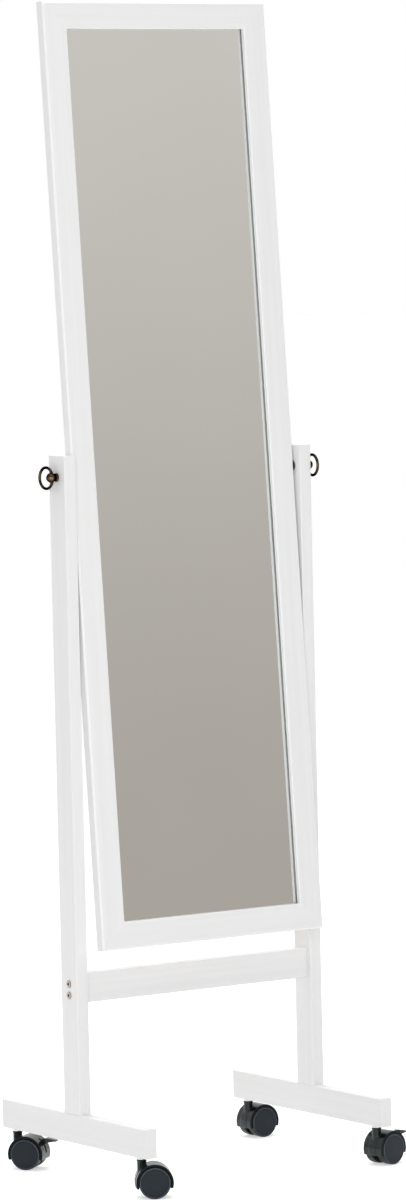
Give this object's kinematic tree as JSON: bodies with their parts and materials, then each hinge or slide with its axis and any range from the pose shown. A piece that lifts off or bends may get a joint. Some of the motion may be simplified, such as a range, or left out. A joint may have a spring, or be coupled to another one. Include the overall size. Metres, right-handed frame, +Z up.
{
  "type": "rolling floor mirror",
  "caption": "Tall white framed mirror that tilts between two posts on a low base with swivel casters, clamped by ring-pull knobs.",
  "frame": {"origin": "on the floor, midway between the two posts", "axes": "+Z up, +X to the right seen from the front, -Y the front, which the glass faces"},
  "size_m": [0.4391, 0.3446, 1.4957],
  "materials": {
    "white_paint": "satin white paint over wood",
    "mirror_glass": "clear silvered glass",
    "back_panel": "bare hardboard",
    "insert_brass": "turned",
    "spacer": "matte black",
    "bronze": "antique bronze, dark with rubbed highlights",
    "wheel_cover": "charcoal, fine satin",
    "wheel": "black nylon",
    "hood_nylon": "black nylon, semi gloss",
    "zinc_steel": "zinc plated"
  },
  "bodies": {
    "stand": {"left_post": "white_paint", "right_post": "white_paint", "left_foot": "white_paint", "right_foot": "white_paint", "crossbar": "white_paint", "crossbar_screws": "zinc_steel", "foot_screws": "zinc_steel", "stem_sleeves": "zinc_steel", "caster_stems": "zinc_steel"},
    "mirror": {"left_stile": "white_paint", "right_stile": "white_paint", "top_rail": "white_paint", "bottom_rail": "white_paint", "mirror_glass": "mirror_glass", "back_panel": "back_panel", "panel_screws": "zinc_steel", "pivot_inserts": "insert_brass", "spacer_washers": "spacer"},
    "left_knob": {"left_knob": "bronze"},
    "right_knob": {"right_knob": "bronze"},
    "left_ring": {"left_ring": "bronze"},
    "right_ring": {"right_ring": "bronze"},
    "back_left_fork": {"back_left_hood": "hood_nylon", "back_left_axle": "zinc_steel", "back_left_lever_pin": "zinc_steel"},
    "back_left_wheel_a": {"back_left_wheel_a": "wheel", "back_left_cover_a": "wheel_cover"},
    "back_left_wheel_b": {"back_left_wheel_b": "wheel", "back_left_cover_b": "wheel_cover"},
    "back_left_lever": {"back_left_lever": "hood_nylon"},
    "front_left_fork": {"front_left_hood": "hood_nylon", "front_left_axle": "zinc_steel"},
    "front_left_wheel_a": {"front_left_wheel_a": "wheel", "front_left_cover_a": "wheel_cover"},
    "front_left_wheel_b": {"front_left_wheel_b": "wheel", "front_left_cover_b": "wheel_cover"},
    "back_right_fork": {"back_right_hood": "hood_nylon", "back_right_axle": "zinc_steel"},
    "back_right_wheel_a": {"back_right_wheel_a": "wheel", "back_right_cover_a": "wheel_cover"},
    "back_right_wheel_b": {"back_right_wheel_b": "wheel", "back_right_cover_b": "wheel_cover"},
    "front_right_fork": {"front_right_hood": "hood_nylon", "front_right_axle": "zinc_steel", "front_right_lever_pin": "zinc_steel"},
    "front_right_wheel_a": {"front_right_wheel_a": "wheel", "front_right_cover_a": "wheel_cover"},
    "front_right_wheel_b": {"front_right_wheel_b": "wheel", "front_right_cover_b": "wheel_cover"},
    "front_right_lever": {"front_right_lever": "hood_nylon"}
  },
  "joints": [
    {"name": "mirror_tilt", "type": "hinge", "parent": "stand", "child": "mirror", "pos_m": [0, 0, 0.897], "axis": [1, 0, 0], "continuous": true},
    {"name": "left_knob_turn", "type": "hinge", "parent": "stand", "child": "left_knob", "pos_m": [-0.1895, 0, 0.897], "axis": [-1, 0, 0], "range_deg": [-45, 360]},
    {"name": "left_ring_swing", "type": "hinge", "parent": "left_knob", "child": "left_ring", "pos_m": [-0.19634, 0, 0.897], "axis": [0, 0.0698, 0.9976], "range_deg": [-13, 183]},
    {"name": "right_knob_turn", "type": "hinge", "parent": "stand", "child": "right_knob", "pos_m": [0.1895, 0, 0.897], "axis": [1, 0, 0], "range_deg": [-45, 360]},
    {"name": "right_ring_swing", "type": "hinge", "parent": "right_knob", "child": "right_ring", "pos_m": [0.19634, 0, 0.897], "axis": [0, 0, 1], "range_deg": [-5, 191]},
    {"name": "back_left_swivel", "type": "hinge", "parent": "stand", "child": "back_left_fork", "pos_m": [-0.181, 0.145, 0.0485], "axis": [0, 0, 1], "continuous": true},
    {"name": "back_left_roll_a", "type": "hinge", "parent": "back_left_fork", "child": "back_left_wheel_a", "pos_m": [-0.17177, 0.13318, 0.02], "axis": [0.788, 0.6157, 0], "continuous": true},
    {"name": "back_left_roll_b", "type": "hinge", "parent": "back_left_fork", "child": "back_left_wheel_b", "pos_m": [-0.17177, 0.13318, 0.02], "axis": [0.788, 0.6157, 0], "continuous": true},
    {"name": "back_left_brake", "type": "hinge", "parent": "back_left_fork", "child": "back_left_lever", "pos_m": [-0.16068, 0.119, 0.0316], "axis": [0.788, 0.6157, 0], "range_deg": [0, 20]},
    {"name": "front_left_swivel", "type": "hinge", "parent": "stand", "child": "front_left_fork", "pos_m": [-0.181, -0.145, 0.0485], "axis": [0, 0, 1], "continuous": true},
    {"name": "front_left_roll_a", "type": "hinge", "parent": "front_left_fork", "child": "front_left_wheel_a", "pos_m": [-0.16788, -0.15227, 0.02], "axis": [0.4848, 0.8746, 0], "continuous": true},
    {"name": "front_left_roll_b", "type": "hinge", "parent": "front_left_fork", "child": "front_left_wheel_b", "pos_m": [-0.16788, -0.15227, 0.02], "axis": [0.4848, 0.8746, 0], "continuous": true},
    {"name": "back_right_swivel", "type": "hinge", "parent": "stand", "child": "back_right_fork", "pos_m": [0.181, 0.145, 0.0485], "axis": [0, 0, 1], "continuous": true},
    {"name": "back_right_roll_a", "type": "hinge", "parent": "back_right_fork", "child": "back_right_wheel_a", "pos_m": [0.19599, 0.14552, 0.02], "axis": [-0.0349, 0.9994, 0], "continuous": true},
    {"name": "back_right_roll_b", "type": "hinge", "parent": "back_right_fork", "child": "back_right_wheel_b", "pos_m": [0.19599, 0.14552, 0.02], "axis": [-0.0349, 0.9994, 0], "continuous": true},
    {"name": "front_right_swivel", "type": "hinge", "parent": "stand", "child": "front_right_fork", "pos_m": [0.181, -0.145, 0.0485], "axis": [0, 0, 1], "continuous": true},
    {"name": "front_right_roll_a", "type": "hinge", "parent": "front_right_fork", "child": "front_right_wheel_a", "pos_m": [0.19572, -0.14214, 0.02], "axis": [-0.1908, 0.9816, 0], "continuous": true},
    {"name": "front_right_roll_b", "type": "hinge", "parent": "front_right_fork", "child": "front_right_wheel_b", "pos_m": [0.19572, -0.14214, 0.02], "axis": [-0.1908, 0.9816, 0], "continuous": true},
    {"name": "front_right_brake", "type": "hinge", "parent": "front_right_fork", "child": "front_right_lever", "pos_m": [0.21339, -0.1387, 0.0316], "axis": [-0.1908, 0.9816, 0], "range_deg": [0, 20]}
  ]
}
